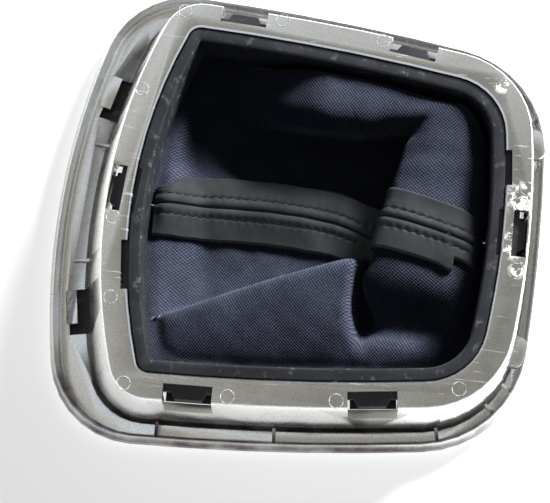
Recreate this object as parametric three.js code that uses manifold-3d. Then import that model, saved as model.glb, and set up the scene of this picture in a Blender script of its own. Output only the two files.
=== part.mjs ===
// Gear lever gaiter, seen from below and lying face down: a plated bezel with a raised
// collar, the frame that snaps into the collar, and the sewn gaiter that hangs from the
// frame and lies folded inside it.
// Millimetres, +Z up, the table at z = 0, +X towards the narrow end of the bezel.
import * as THREE from 'three';
import Module from 'manifold-3d';

const wasm = await Module();
wasm.setup();
const { Manifold, Mesh, CrossSection } = wasm;

// Rim of the collar: a side arc at each end, a flank arc on each long side, round corners
const rimOutline = {
  left: -53.8, halfLeft: 62.4, bulgeLeft: 12.8, cornerLeft: 11.9,
  right: 53.8, halfRight: 51.5, bulgeRight: 5.2, cornerRight: 26.1, bulgeFlank: 2.1,
};
// Edge of the flange that shows round the gear lever
const lipOutline = {
  left: -70.9, halfLeft: 71.5, bulgeLeft: 11.9, cornerLeft: 25.7,
  right: 60.2, halfRight: 58.1, bulgeRight: 3.2, cornerRight: 33, bulgeFlank: 3,
};

// Bezel
const rimHeight = 22.6;
const rimWidth = 7.9;
const rimThickness = 1.8;
const collarWall = 2.2;
const footSpread = 0.4;        // how far the collar's foot leans from the rim towards the lip
const landHeight = 2.8;
const lipHeight = 6.6;
const lipBulge = 1.6;
const edgeChamfer = 0.5;
const windowLength = 14.2;
const windowReach = 5.1;
const windowDrop = 8;
const sideWindowSkin = 0.9;
const leastCorner = 1.2;
const windowAngles = [71, 118.4];
const ribAngles = [36.5, 42.8, 55, 98.5, 125, 164.5];
const ribThickness = 0.9;
const ribRise = 2;
const hookAngle = 29.4;
const hookLength = 9.3;
const hookTop = 10.6;
const hookThickness = 2.6;
const hookReach = 4.9;
const hookRound = 2.6;
const slotAngle = 152.5;
const slotLength = 14;
const slotWidth = 6;
const slotFloor = 0.9;
const slotTab = 2.7;
const slotTabRise = 1.9;
const slotTabGap = 3.2;        // the tab stops this short of the slot's end towards -Y
const notchDepth = 1.7;
const notches = [[19.4, 11], [-159.4, 15]];     // angle round the rim and length of each

// Retaining frame
const clearance = 0.3;
const bandWidth = 3.7;
const bandStep = 0.7;          // the band lies this much below the rim
const skirtWall = 1.6;
const skirtDepth = 13.3;
const shelfThickness = 1.8;
const shelfReach = 4.7;        // how far the shelf runs out under the rim
const lugLength = 11;
const lugBevel = 1.6;
const lugDrop = 5;
const bandRecess = 1.2;
const bandRecessLength = 14;

// Gaiter
const sheet = 1.2;
const neckX = 25;
const neckY = 4.5;
const neckLength = 8;
const neckWidth = 18;
const neckHeight = 2.6;
const seamGap = 0.5;
const seamBow = 2.5;
const stripWidth = 20;
const stripThickness = 0.8;
const stripGap = 0.3;
const stripRows = { left: 25, right: 20 };     // rows of the web that each strip covers
const floorHeight = 3;
const seamRidge = 2.6;         // how far the cloth stands up along the left seam
const foldHeight = 17.2;       // top of the rear and right fold
const cornerLift = 1.8;        // how much higher the two are where they meet
const foldFoot = 9;            // plan width over which the fold rises
const rearFoot = 32;
const rearBulge = 5;
const rightFoot = 31.5;
const rightBulge = 17;         // how far the right fold bulges over the neck at its lower end
const rightSwing = 6;          // how far the seam swings to the rear on top of the right fold
const frontHeight = 14;
const frontFoot = 3.5;
const frontBulge = 2.5;
const ridgeHeight = 9.5;

// Facets: segments along each arc of half an outline, for the mouldings and for the gaiter,
// rows from frame to neck, lanes across a strip, and how far flat places are thinned out
const railSegments = [5, 8, 5, 7, 6];
const arcSegments = [6, 8, 14, 7, 7];
const webRows = 30;
const lanes = 10;
const thinning = 0.09;
const evening = 1.8;

const smooth = (v) => { const t = Math.min(Math.max(v, 0), 1); return t * t * (3 - 2 * t); };
const mix = (a, b, t) => a + (b - a) * t;
const rad = THREE.MathUtils.degToRad;

// The three circles that half an outline runs on
function circles(o, inset = 0) {
  const side = (x, half, bulge, way) => {
    const r = (half * half + bulge * bulge) / (2 * bulge);
    return { x: x + way * (bulge - r), y: 0, r: r - inset };
  };
  const dx = o.right - o.left, dy = o.halfRight - o.halfLeft;
  const half = Math.hypot(dx, dy) / 2;
  const r = (half * half + o.bulgeFlank ** 2) / (2 * o.bulgeFlank);
  const up = (o.bulgeFlank - r) / (2 * half);
  return {
    right: side(o.right, o.halfRight, o.bulgeRight, 1),
    left: side(o.left, o.halfLeft, o.bulgeLeft, -1),
    flank: {
      x: (o.left + o.right) / 2 - dy * up, y: (o.halfLeft + o.halfRight) / 2 + dx * up, r: r - inset,
    },
  };
}

// Centre of a corner arc that touches circles a and b from inside, near the point (px, py)
function cornerCentre(a, b, radius, px, py) {
  const ra = a.r - radius, rb = b.r - radius;
  const dx = b.x - a.x, dy = b.y - a.y, d = Math.hypot(dx, dy);
  const along = (ra * ra - rb * rb + d * d) / (2 * d);
  const off = Math.sqrt(Math.max(ra * ra - along * along, 0));
  const found = [1, -1].map((s) => ({
    x: a.x + (along * dx - s * off * dy) / d, y: a.y + (along * dy + s * off * dx) / d, r: radius,
  }));
  const far = (c) => Math.hypot(c.x - px, c.y - py);
  return far(found[0]) < far(found[1]) ? found[0] : found[1];
}

const bearing = (from, to) => Math.atan2(to.y - from.y, to.x - from.x);

// The five arcs of half an outline in order from its right end, each with its two bearings
function arcs(o, inset = 0) {
  const { right, left, flank } = circles(o, inset);
  const corner = (side, radius, x, y) =>
    cornerCentre(side, flank, Math.max(radius - inset, leastCorner), x, y);
  const near = corner(right, o.cornerRight, o.right, o.halfRight);
  const far = corner(left, o.cornerLeft, o.left, o.halfLeft);
  const turns = [0, bearing(right, near), bearing(flank, near), bearing(flank, far),
    bearing(left, far), Math.PI];
  return [right, near, flank, far, left].map((c, k) => ({ ...c, from: turns[k], to: turns[k + 1] }));
}

// A closed outline moved in by inset, anticlockwise from its right end, same count each time
function outline(o, inset = 0, segments = railSegments) {
  const half = arcs(o, inset).flatMap((c, k) => Array.from({ length: segments[k] }, (_, i) => {
    const a = mix(c.from, c.to, i / segments[k]);
    return [c.x + c.r * Math.cos(a), c.y + c.r * Math.sin(a)];
  }));
  const left = circles(o, inset).left;
  half.push([left.x - left.r, 0]);
  const below = half.slice(1, -1).reverse().map(([x, y]) => [x, -y]);
  return [...half, ...below];
}

// One ring of a section: share of the way from rim to lip, inset and height
function ring(share, inset, z) {
  const inner = outline(rimOutline, inset);
  if (share === 0) return inner.map(([x, y]) => [x, y, z]);
  const outer = outline(lipOutline, inset);
  return inner.map(([x, y], i) => [mix(x, outer[i][0], share), mix(y, outer[i][1], share), z]);
}

function solid(points, triangles) {
  const vertProperties = new Float32Array(points.flat());
  return new Manifold(new Mesh({ numProp: 3, vertProperties, triVerts: new Uint32Array(triangles) }));
}

// Sweep of a section round the outline: rings in order, each joined to the next one
function sweep(section) {
  const rings = section.map(([share, inset, z]) => ring(share, inset, z));
  const n = rings[0].length, triangles = [];
  rings.forEach((_, k) => {
    const a = k * n, b = ((k + 1) % rings.length) * n;
    for (let i = 0; i < n; i++) {
      const j = (i + 1) % n;
      triangles.push(a + i, a + j, b + i, a + j, b + j, b + i);
    }
  });
  return solid(rings.flat(), triangles);
}

// Point of the rim outline at an angle round the origin, with the way out of the outline
function rimPoint(degrees) {
  const points = outline(rimOutline), a = rad(degrees), n = points.length;
  const side = ([x, y]) => Math.cos(a) * y - Math.sin(a) * x;
  for (let i = 0; i < n; i++) {
    const p = points[i], q = points[(i + 1) % n];
    if (side(p) > 0 || side(q) <= 0 || p[0] * Math.cos(a) + p[1] * Math.sin(a) < 0) continue;
    const t = side(p) / (side(p) - side(q));
    return { x: mix(p[0], q[0], t), y: mix(p[1], q[1], t), turn: Math.atan2(p[0] - q[0], q[1] - p[1]) };
  }
  return { x: points[0][0], y: 0, turn: 0 };
}

// Places a body made at the origin, whose +X points outwards, at an angle round the rim
function atRim(body, degrees) {
  const { x, y, turn } = rimPoint(degrees);
  return body.rotate([0, 0, THREE.MathUtils.radToDeg(turn)]).translate([x, y, 0]);
}

// Block from x0 to x1 outwards, centred on y, from z0 to z1
const block = (x0, x1, length, z0, z1) =>
  Manifold.cube([x1 - x0, length, z1 - z0]).translate([x0, -length / 2, z0]);

// Plan shape from its corner points, raised from z0 to z1
const plate = (corners, z0, z1) =>
  Manifold.extrude(new CrossSection([corners]), z1 - z0).translate([0, 0, z0]);

// Section of the bezel, from the rim over the inner wall, the face, the lip and the land
const bezelSection = [
  [0, edgeChamfer, rimHeight],
  [0, rimWidth - edgeChamfer, rimHeight],
  [0, rimWidth, rimHeight - edgeChamfer],
  [0, rimWidth, rimHeight - rimThickness],
  [0, collarWall, rimHeight - rimThickness],
  [footSpread, collarWall + 0.3, 2.6],
  [footSpread, collarWall + 0.8, 0.9],
  [footSpread + 0.06, collarWall - 0.6, 0.15],
  [0.62, 0, 0],
  [0.84, 0, 0],
  [0.97, 0, 0.6],
  [1, -0.8 * lipBulge, 1.6],
  [1, -lipBulge, 2.8],
  [1, -0.75 * lipBulge, 4.6],
  [1, -0.2, lipHeight - 0.3],
  [1, 0.1, lipHeight],
  [1, 0.5, lipHeight - 0.4],
  [0.95, 0.3, 4.4],
  [0.88, 0.1, 3.3],
  [0.78, 0, landHeight],
  [footSpread + 0.06, 0, landHeight],
  [footSpread, 0, landHeight + 0.8],
  [0, 0, rimHeight - edgeChamfer],
];

function hookTab() {
  const x = hookReach - hookRound, y = hookLength / 2 - hookRound;
  const round = new CrossSection([[[-2, -y], [x, -y], [x, y], [-2, y]]]).offset(hookRound, 'Round', 2, 20);
  const tab = Manifold.extrude(round, hookThickness).translate([0, 0, hookTop - hookThickness]);
  return tab.subtract(block(-9, -1, 20, 0, rimHeight));
}

// Raised tab over the outer side of a flange slot: its top slopes in towards the collar
function slotTabBody() {
  const x = slotWidth, low = landHeight - 1, high = landHeight + slotTabRise;
  const ends = [-slotLength / 2, slotLength / 2 - slotTabGap];
  return Manifold.hull(ends.flatMap((y) => [[x + 0.5, low], [x - slotTab, low], [x + 0.5, high],
    [x - slotTab, high - 0.9]].map(([px, pz]) => [px, y, pz])));
}

function bezel() {
  let body = sweep(bezelSection);
  const added = [], cut = [], rimBase = rimHeight - windowDrop, over = rimHeight + 1;
  for (const side of [1, -1]) {
    for (const a of ribAngles) {
      added.push(atRim(block(0.6, 11, ribThickness, 1.5, landHeight + ribRise), side * a));
    }
  }
  const flange = sweep([[0, 0.6, 1], [1, 0.8, 1], [1, 0.8, 9], [0, 0.6, 9]]);
  body = body.add(Manifold.union(added).intersect(flange));
  for (const side of [1, -1]) {
    body = body.add(atRim(hookTab(), side * hookAngle));
    for (const a of windowAngles) {
      cut.push(atRim(block(-windowReach, 4, windowLength, rimBase, over), side * a));
    }
    const foot = footAt(side * slotAngle);
    const slot = block(foot - 0.8, foot + slotWidth, slotLength, slotFloor, landHeight + 6);
    cut.push(atRim(slot, side * slotAngle));
  }
  for (const a of [0, 180]) {
    cut.push(atRim(block(-windowReach, -sideWindowSkin, windowLength, rimBase, over), a));
  }
  for (const [a, length] of notches) {
    const bottom = rimHeight - rimThickness - 1;
    cut.push(atRim(block(-rimWidth - 1, -rimWidth + notchDepth, length, bottom, over), a));
  }
  body = body.subtract(Manifold.union(cut));
  for (const side of [1, -1]) {
    const foot = footAt(side * slotAngle);
    body = body.add(atRim(slotTabBody().translate([foot, 0, 0]), side * slotAngle));
  }
  return body;
}

// How far outside the rim the collar's foot lies at an angle
function footAt(degrees) {
  const { x, y, turn } = rimPoint(degrees);
  const n = [Math.cos(turn), Math.sin(turn)];
  const along = ring(footSpread, 0, 0).map(([px, py]) => [(px - x) * n[0] + (py - y) * n[1],
    Math.abs((py - y) * n[0] - (px - x) * n[1])]).filter(([out]) => out > 0);
  along.sort((a, b) => a[1] - b[1]);
  return (along[0][0] + along[1][0]) / 2;
}

const bandOuter = rimWidth + clearance;
const bandInner = bandOuter + bandWidth;
const bandTop = rimHeight - bandStep;
const shelfTop = rimHeight - rimThickness - clearance;
const shelfBottom = shelfTop - shelfThickness;
const shelfOuter = rimWidth - shelfReach;
const skirtBottom = rimHeight - skirtDepth;

function retainingFrame() {
  const body = sweep([
    [0, bandOuter + 0.3, bandTop],
    [0, bandInner - 0.5, bandTop],
    [0, bandInner, bandTop - 0.4],
    [0, bandInner, skirtBottom],
    [0, bandInner - skirtWall, skirtBottom],
    [0, bandInner - skirtWall, shelfBottom],
    [0, shelfOuter, shelfBottom],
    [0, shelfOuter, shelfTop],
    [0, bandOuter, shelfTop],
    [0, bandOuter, bandTop - 0.3],
  ]);
  const tip = -sideWindowSkin - clearance;
  const back = -shelfOuter - 0.8, half = lugLength / 2;
  const lug = (reach) => plate([[back, -half], [reach, lugBevel - half], [reach, half - lugBevel],
    [back, half]], shelfTop - lugDrop, shelfTop - 0.2);
  const lugs = [...[0, 180].map((a) => atRim(lug(tip), a)),
    ...[1, -1].flatMap((side) => windowAngles.map((a) => atRim(lug(tip), side * a)))];
  const recesses = [0, 180].map((a) => atRim(block(-bandOuter - bandRecess, -bandOuter + 1,
    bandRecessLength, bandTop - 1, bandTop + 1), a));
  return body.add(Manifold.union(lugs)).subtract(Manifold.union(recesses));
}

// Lowest place of the gaiter under the frame's skirt, measured to the middle of the sheet
const hangInset = bandInner - skirtWall - clearance - sheet / 2;
const webInset = bandInner + clearance + sheet / 2;
const bendHeight = skirtBottom - clearance - sheet / 2;
const plan = arcs(rimOutline);

// How far inside the rim outline a plan point lies, rounded off where two arcs meet
function insetOf(x, y) {
  const k = 2.5, at = { x, y: Math.abs(y) };
  const gap = (c) => c.r - Math.hypot(at.x - c.x, at.y - c.y);
  const sides = [plan[0], plan[2], plan[4]].reduce((sum, c) => sum + Math.exp(-gap(c) / k), 0);
  const corners = [plan[1], plan[3]].filter((c) => bearing(c, at) > c.from && bearing(c, at) < c.to);
  return Math.min(-k * Math.log(sides), ...corners.map(gap));
}

// Distance outside the neck opening, about right near its edge
function neckGap(x, y) {
  const a = neckLength / 2, b = neckWidth / 2;
  return (Math.hypot((x - neckX) / a, (y - neckY) / b) - 1) * Math.min(a, b);
}

// Height share over a rounded fold, from 0 at its foot to 1 at its top
const rise = (q) => 1 - (1 - Math.min(Math.max(q, 0), 1)) ** 2.4;

// How far a fold bulges over its foot: most at about a third of the way up
const belly = (q) => smooth(q / 0.4) * (1 - smooth((q - 0.35) / 1.15));

// The rear and right fold, one behind the other round the corner: height and bulge over a point
function highFold(x, y) {
  const corner = smooth((x - 4) / 16);
  const rearQ = (y - rearFoot - 2 * corner - 0.003 * Math.min(x + 12, 0) ** 2)
    / mix(foldFoot, foldFoot - 2, corner);
  const rightQ = (x - rightFoot + 8 * smooth((y - 12) / 16) + 0.12 * Math.max(6 - y, 0)) / foldFoot;
  const end = smooth((y + 27 - 0.1 * x) / 10);
  const left = mix(0.5, 1, smooth((x + 44) / 32)) * smooth((x + 56) / 12);
  const toRear = 1 / (1 + Math.exp(6 * (rightQ - rearQ)));
  const q = Math.max(rearQ, rightQ) + Math.log1p(Math.exp(-6 * Math.abs(rearQ - rightQ))) / 6;
  const lower = (7 * smooth((28 - y) / 16) + 5 * smooth((14 - y) / 26)) / 12;
  return {
    share: rise(q) * mix(end, left, toRear),
    top: foldHeight - 2 * smooth((x - 35) / 10) + cornerLift * smooth((y - 22) / 18),
    over: mix(rearBulge, rightBulge, lower) * belly(q) * end * (1 - toRear),
    under: rearBulge * belly(q) * left * toRear,
    swing: rightSwing * smooth((x - 16) / 10) * smooth((48 - x) / 18) * smooth((y + 20) / 14)
      * smooth((30 - y) / 20) * rise(rightQ),
  };
}

// The front fold runs from the left side to the right fold, and its top falls to the frame
function frontFold(x, y, inside) {
  const crest = -9.8 - 0.43 * (12 - x) + 1.6 * Math.sin(((x + 49) / 61) * Math.PI);
  const behind = Math.max(crest - y, 0), stop = 13.5 + 0.022 * (y + 19) ** 2;
  const down = behind / (behind + Math.max(inside, 0) + 0.1);
  return {
    share: rise((crest - y) / frontFoot) * smooth((stop - x) / 4),
    top: mix(mix(frontHeight - 4, frontHeight, smooth((x + 55) / 60)), bendHeight - 0.5, down ** 2),
    tuck: frontBulge * belly((crest - y) / (frontFoot + 1.5)) * smooth((stop - x) / 6),
  };
}

// Point of the folded web over a plan point: floor, low ridge, front fold, high fold, neck
function webPoint(x, y) {
  const inside = insetOf(x, y) - webInset, high = highFold(x, y), front = frontFold(x, y, inside);
  const floor = mix(bendHeight, floorHeight, smooth(inside / mix(18, 12, smooth((y + 8) / 30))))
    + seamRidge * Math.exp(-(((y - 1) / 10) ** 2)) * smooth((26 - x) / 40);
  let z = mix(floor, ridgeHeight, smooth((-29 - y) / 8) * smooth((x - 6) / 12));
  z = mix(z, Math.max(front.top, floor + 0.6), front.share);
  z = mix(z, high.top, high.share);
  z = mix(z, neckHeight, 1 - smooth((neckGap(x, y) - 0.3) / 1.5));
  z = mix(bendHeight, z, smooth(inside / mix(5, 2.2, high.share)));
  const bow = seamBow * Math.sin(Math.PI * Math.min(Math.max((x + 54) / 70, 0), 1))
    * smooth((20 - Math.abs(y)) / 12);
  return [x - high.over, y + high.swing + bow - high.under + front.tuck, z];
}

// The same point, evened out over the points round it so that no slope is steeper than the rows
// of facets can follow
function softPoint(x, y) {
  const reach = evening * smooth((insetOf(x, y) - webInset - 0.5) / 5) * smooth((neckGap(x, y) - 1) / 4);
  const around = [[0, 0], [reach, 0], [-reach, 0], [0, reach], [0, -reach]];
  const sum = new THREE.Vector3();
  for (const [dx, dy] of around) sum.add(new THREE.Vector3(...webPoint(x + dx, y + dy)));
  return sum.divideScalar(around.length).toArray();
}

// Rings of the part that hangs in the skirt and bends round its foot, in the sheet's middle
const bend = 1.06 * (clearance + sheet / 2);
const hangRows = [[hangInset, rimHeight - 4.9], ...[0, 45, 90].map((a) =>
  [bandInner - skirtWall - bend * Math.cos(rad(a)), skirtBottom - bend * Math.sin(rad(a))])];
const hangRings = hangRows.map(([inset]) => outline(rimOutline, inset, arcSegments));
const webRing = outline(rimOutline, webInset, arcSegments);
const columns = webRing.length;

// Plan point of the web before it is folded: column round the outline, row from frame to neck
function planPoint(column, row) {
  const a = (2 * Math.PI * column) / columns, t = row / webRows, turn = a + 0.25 * Math.sin(2 * a);
  const [x, y] = webRing[(column + columns) % columns];
  return [mix(x, neckX + (neckLength / 2) * Math.cos(turn), t),
    mix(y, neckY + (neckWidth / 2) * Math.sin(turn), t)];
}

// Point of the sheet's middle, kept on its own side of the seam where keep is 1 or -1
function sheetPoint(column, row, keep = 0) {
  const c = (column + columns) % columns, k = row - hangRows.length;
  const [x, y] = k < 0 ? hangRings[row][c] : planPoint(c, k);
  const middle = k < 0 ? 0 : neckY * (k / webRows);
  const clear = keep === 0 ? y : middle + keep * Math.max(keep * (y - middle), seamGap / 2);
  return k < 0 ? [x, clear, hangRows[row][1]] : softPoint(x, clear);
}

// Closed sheet over a grid of middle points, from low to high above them, which can be asked
// for one more point on every side
function thickSheet(at, columnsUsed, rowsUsed, low, high) {
  const points = [[], []];
  for (let j = 0; j <= rowsUsed; j++) {
    for (let i = 0; i <= columnsUsed; i++) {
      const p = new THREE.Vector3(...at(i, j));
      const u = new THREE.Vector3(...at(i + 1, j)).sub(new THREE.Vector3(...at(i - 1, j)));
      const v = new THREE.Vector3(...at(i, j + 1)).sub(new THREE.Vector3(...at(i, j - 1)));
      const normal = v.cross(u).normalize();
      points[0].push(p.clone().addScaledVector(normal, high).toArray());
      points[1].push(p.clone().addScaledVector(normal, low).toArray());
    }
  }
  const n = columnsUsed + 1, m = rowsUsed + 1, under = n * m, triangles = [];
  const quad = (a, b, c, d) => triangles.push(a, b, c, a, c, d);
  for (let j = 0; j < rowsUsed; j++) {
    for (let i = 0; i < columnsUsed; i++) {
      const k = j * n + i;
      quad(k, k + n, k + n + 1, k + 1);
      quad(under + k, under + k + 1, under + k + n + 1, under + k + n);
    }
  }
  for (let i = 0; i < columnsUsed; i++) {
    const last = rowsUsed * n + i;
    quad(i, i + 1, under + i + 1, under + i);
    quad(last + 1, last, under + last, under + last + 1);
  }
  for (let j = 0; j < rowsUsed; j++) {
    const first = j * n, last = first + columnsUsed;
    quad(first + n, first, under + first, under + first + n);
    quad(last, last + n, under + last + n, under + last);
  }
  return solid([...points[0], ...points[1]], triangles);
}

// Half of the gaiter, from one seam round to the other: side 1 is the +Y half
function panel(side) {
  const start = side > 0 ? 0 : columns / 2, last = hangRows.length + webRows;
  const at = (i, j) => sheetPoint(start + i, Math.min(Math.max(j, 0), last),
    i >= 0 && i <= columns / 2 ? side : 0);
  return thickSheet(at, columns / 2, last, -sheet / 2, sheet / 2).simplify(thinning);
}

// Strip over a seam: each lane runs at its own distance from the seam over the panels' rows
function seamStrip(way) {
  const middle = way > 0 ? 0 : columns / 2, low = sheet / 2 + stripGap;
  const at = (i, j) => {
    const row = j + 1, centre = neckY * (row / webRows);
    const y = centre + way * (i / lanes - 0.5) * stripWidth;
    const across = (c) => planPoint((c + columns) % columns, row)[1];
    let c = middle - columns / 4;
    while (c < middle + columns / 4 - 1 && (across(c + 1) - y) * way < 0) c += 1;
    const t = (y - across(c)) / (across(c + 1) - across(c));
    const from = sheetPoint(c, row + hangRows.length), to = sheetPoint(c + 1, row + hangRows.length);
    return from.map((v, k) => mix(v, to[k], t));
  };
  const rows = way > 0 ? stripRows.right : stripRows.left;
  return thickSheet(at, lanes, rows, low, low + stripThickness).simplify(thinning / 2);
}

function mesh(name, body, colour, roughness, metalness) {
  if (body.volume() <= 0) throw new Error(`${name} has no volume`);
  const { vertProperties, triVerts } = body.getMesh();
  const indexed = new THREE.BufferGeometry();
  indexed.setAttribute('position', new THREE.BufferAttribute(new Float32Array(vertProperties), 3));
  indexed.setIndex([...triVerts]);
  const geometry = indexed.toNonIndexed();
  geometry.computeVertexNormals();
  const finish = new THREE.MeshStandardMaterial({ color: colour, roughness, metalness });
  const made = new THREE.Mesh(geometry, finish);
  made.name = name;
  return made;
}

// The origin of the whole part is the middle of its box, on the table
const gaiter = new THREE.Group();
gaiter.name = 'gear_lever_gaiter';
const ends = arcs(lipOutline, -lipBulge);
gaiter.position.x = -(ends[0].x + ends[0].r + ends[4].x - ends[4].r) / 2;
gaiter.add(
  mesh('bezel', bezel(), '#a9abaa', 0.18, 1),
  mesh('retaining_frame', retainingFrame(), '#2c2d30', 0.5, 0),
  mesh('gaiter_panel_rear', panel(1), '#343a50', 0.95, 0),
  mesh('gaiter_panel_front', panel(-1), '#343a50', 0.95, 0),
  mesh('seam_strip_left', seamStrip(-1), '#3a3c3e', 0.6, 0),
  mesh('seam_strip_right', seamStrip(1), '#3a3c3e', 0.6, 0),
);

export default gaiter;
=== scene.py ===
"""Gear lever gaiter seen from below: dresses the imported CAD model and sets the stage.

Metres, +Z up, the bezel face down on the table at z = 0, +X towards its narrow end. The
gaiter's own formulas are in millimetres, with x from the middle of the collar's rim.
"""
import math

import bmesh
import bpy
import numpy as np
from bpy.props import FloatProperty, FloatVectorProperty, PointerProperty
from bpy.types import Operator, Panel, PropertyGroup
from mathutils import Euler, Matrix, Vector


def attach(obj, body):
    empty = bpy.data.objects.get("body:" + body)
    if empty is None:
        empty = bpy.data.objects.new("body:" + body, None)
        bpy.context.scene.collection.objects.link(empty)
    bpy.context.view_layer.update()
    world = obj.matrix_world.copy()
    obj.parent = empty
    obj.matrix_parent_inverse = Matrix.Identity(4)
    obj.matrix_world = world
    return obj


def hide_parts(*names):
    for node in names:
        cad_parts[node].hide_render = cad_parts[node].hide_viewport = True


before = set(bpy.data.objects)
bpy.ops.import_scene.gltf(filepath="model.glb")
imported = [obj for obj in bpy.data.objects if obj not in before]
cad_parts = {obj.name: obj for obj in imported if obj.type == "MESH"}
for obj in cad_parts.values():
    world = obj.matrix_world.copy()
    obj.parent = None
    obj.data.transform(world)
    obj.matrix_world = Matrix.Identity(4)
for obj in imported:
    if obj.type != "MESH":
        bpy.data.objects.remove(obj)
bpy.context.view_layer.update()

bl_info = {
    "name": "Gear lever gaiter",
    "version": (1, 0, 0),
    "blender": (4, 5, 0),
    "location": "3D View > Sidebar > Gaiter",
    "description": "Dresses a gear lever gaiter, its frame and its plated bezel",
    "category": "Object",
}

MM = 0.001

# Shape of the gaiter in millimetres, much as the CAD model has it
SHIFT = 9.7                       # from the middle of the rim to the frame's own origin
RIM = dict(left=-53.8, half_left=62.4, bulge_left=12.8, corner_left=11.9,
           right=53.8, half_right=51.5, bulge_right=5.2, corner_right=26.1, bulge_flank=2.1)
RIM_TOP, SKIRT_BOTTOM, BEND = 22.6, 9.3, 8.4
HANG_INSET, SKIRT_INSET, WEB_INSET = 9.4, 10.3, 12.8
HANG_BEND = 0.954
SHEET = 1.2                       # thickness of the bonded cloth
NECK = dict(x=25, y=4.5, length=8, width=18.0, z=2.6)
FLOOR = 3.0
SEAM_GAP = 0.5
ARC_BLEND = 2.5                   # over which the insets of two arcs run into each other
EVENING, EVEN_FROM_HEM, EVEN_FROM_NECK = 1.5, (0.5, 5.5), (1, 5)    # reach of the evening out
HANG_HEIGHTS, HANG_TURN = (17.7, 15, 12.5, 10.8), (0, 30, 60, 90)   # down the skirt, round it
ROW_SPREAD, NECK_SPREAD = 0.6, 0.25           # rows and columns set closer where it folds
# The folds. A pair of numbers is a ramp: where something starts and where it is complete.
# foot is where a fold starts to rise, width is how far that takes, bulge is its overhang
BELLY_OUT, BELLY_BACK = (0, 0.4), (0.35, 1.5)
REAR = dict(foot=30, width=9, corner=(4, 20), corner_foot=3, corner_width=7, sag=0.003,
            sag_from=-12, bulge=5, low=0.12, rising=(-46, -4), starting=(-56, -44))
RIGHT = dict(foot=31.5, width=9, rear_foot=8, rear=(12, 28), near_foot=0.12, near_from=6,
             low_foot=0.6, low_from=-13, slant=0.1, height=(-46, -12), lean=(-36, -18),
             bulge=6, middle_bulge=13, middle=(31, 11), near_bulge=1.5, near=(12, -8),
             swing=3.5, swing_left=(16, 26), swing_right=(48, 30), swing_near=(-20, -6),
             swing_rear=(30, 10))
HIGH = dict(top=17.2, fullness=3.2, share=2.2, joint=4.5, right_drop=2, right=(35, 45),
            rear_lift=1.8, rear=(22, 40))
FRONT = dict(top=14.0, left_drop=4, rising=(-55, 5), crest_y=-9.8, crest_x=12, slope=0.43,
             arch=1.6, arch_from=-49, arch_long=61, stop=11.8, stop_bend=0.017, stop_y=-22,
             stop_long=4, width=3.5, fall=2.5, hem=0.5, bulge=2.5, bulge_width=5, bulge_long=6)
RIDGE = dict(height=2.6, y=1, width=10, ending=(26, -14))            # low ridge along the seam
NEAR_CORNER = dict(z=9.5, y=(-29, -37), x=(6, 18))                   # cloth held up by the frame
BOW = dict(depth=2.5, start=-54, long=70, y=(20, 8))                 # curve of the left seam
FLOOR_REACH, FLOOR_TURN = (18, 8), (-8, 22)   # from the frame to the floor, near and rear side
HEM_REACH = (5, 2.2)                          # from the frame to the full height, low and high
NECK_RISE, CREASE_NEAR_NECK = (0.3, 1.8), (2, 7)
LEAST_FOLD = 0.6                              # least height of the front fold over the floor
WAVE_LENGTHS = (34, 23, 17, 12, 9, 7)         # of the small soft waves in the cloth
ARCS = (6, 8, 14, 7, 7)           # steps along the arcs of half an outline, times FINE
FINE, ROWS = 5, 190

# Strips: how far short of the frame they end, how their rows close up towards the neck, the
# corner cut off at the frame and the seam's drift over x
STRIP_LOW = 0.9                   # underside of a strip over the middle of the cloth
STRIP_LENGTHWAYS, STRIP_ACROSS = 260, 120
STRIP_FROM_NECK, RAGGED = 1.5, 0.18     # from the neck to a strip's end, and its cut edges
STRIP_RIGHT = dict(short=2.4, spread=0.4, corner=3.5, corner_x=(42, 48), drift=7,
                   drift_x=(31, 50), start=1)
STRIP_LEFT = dict(short=-0.8, spread=1, corner=4, corner_x=(-46, -51), drift=2,
                  drift_x=(0, 16), start=0)
TORN = dict(step=3.4, x=(40.4, 40.9), nick=0.7, nick_x=40, nick_width=0.5)
WELT = 1.5                        # from the seam to the crest of the rolled edge beside it
STITCH_ROW = 3.1                  # from the seam to each row of stitches
# Relief of a strip: height and half width of each swell, and how its edge thins out
ROLLED, GROOVE, DENT, PUCKER = (0.3, 0.95), (0.7, 0.32), (0.2, 0.4), (0.09, 1.1)
EDGE_LEFT, EDGE_REACH, LEAST_LEATHER = 0.35, 0.7, 0.12
STITCH_SPAN, STITCH_POINTS, STITCH_ARCH, STITCH_SINK = (0.12, 0.88), 7, 0.16, 0.06

WEAVE_FOLDED, WEAVE_FALL = 0.75, (0.45, 0.3)  # share of the folded place, shift per height
NORMAL_PASSES = 6
# Edges under the first angle go, over the second are rounded, over the third stay sharp
FLAT_ANGLE, EDGE_ANGLE, SHARP_ANGLE = (math.radians(angle) for angle in (0.8, 38, 34))

# Round marks left on the rim by the mould's ejector pins, x and y
EJECTOR_RADIUS, EJECTOR_BURR = 2, 0.13
EJECTOR_MARKS = ((-51.9, 58.8), (-61, 31.8), (-21.6, 59.2), (9.6, 55.8), (-63.2, -9.4),
                 (-60, -33.6), (-52.1, -58.3), (-21.9, -58.5), (9, -55.8), (43.1, -48),
                 (56.2, -11.2), (55.8, 9), (56.8, 13.8))
SLOT = dict(x=(-76, -66), y=(25, 42.5), z=(0.5, 2.7))     # flange slot, one on each side
WINDOWS = (0, 71, 118.4, 180, -118.4, -71)      # bearings of the clip windows
LUG_PLATE = dict(out=(-4, -1.3), half=6.7, z=(15.1, 15.9))      # out from the rim's edge
# Places where the plating has blistered: x, y and radius
BLISTERS = ((56.3, 10.5, 6.5), (55.2, 0, 3.5), (54.2, -4, 5), (56.2, -11.2, 3), (46.5, 45.5, 3))

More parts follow.
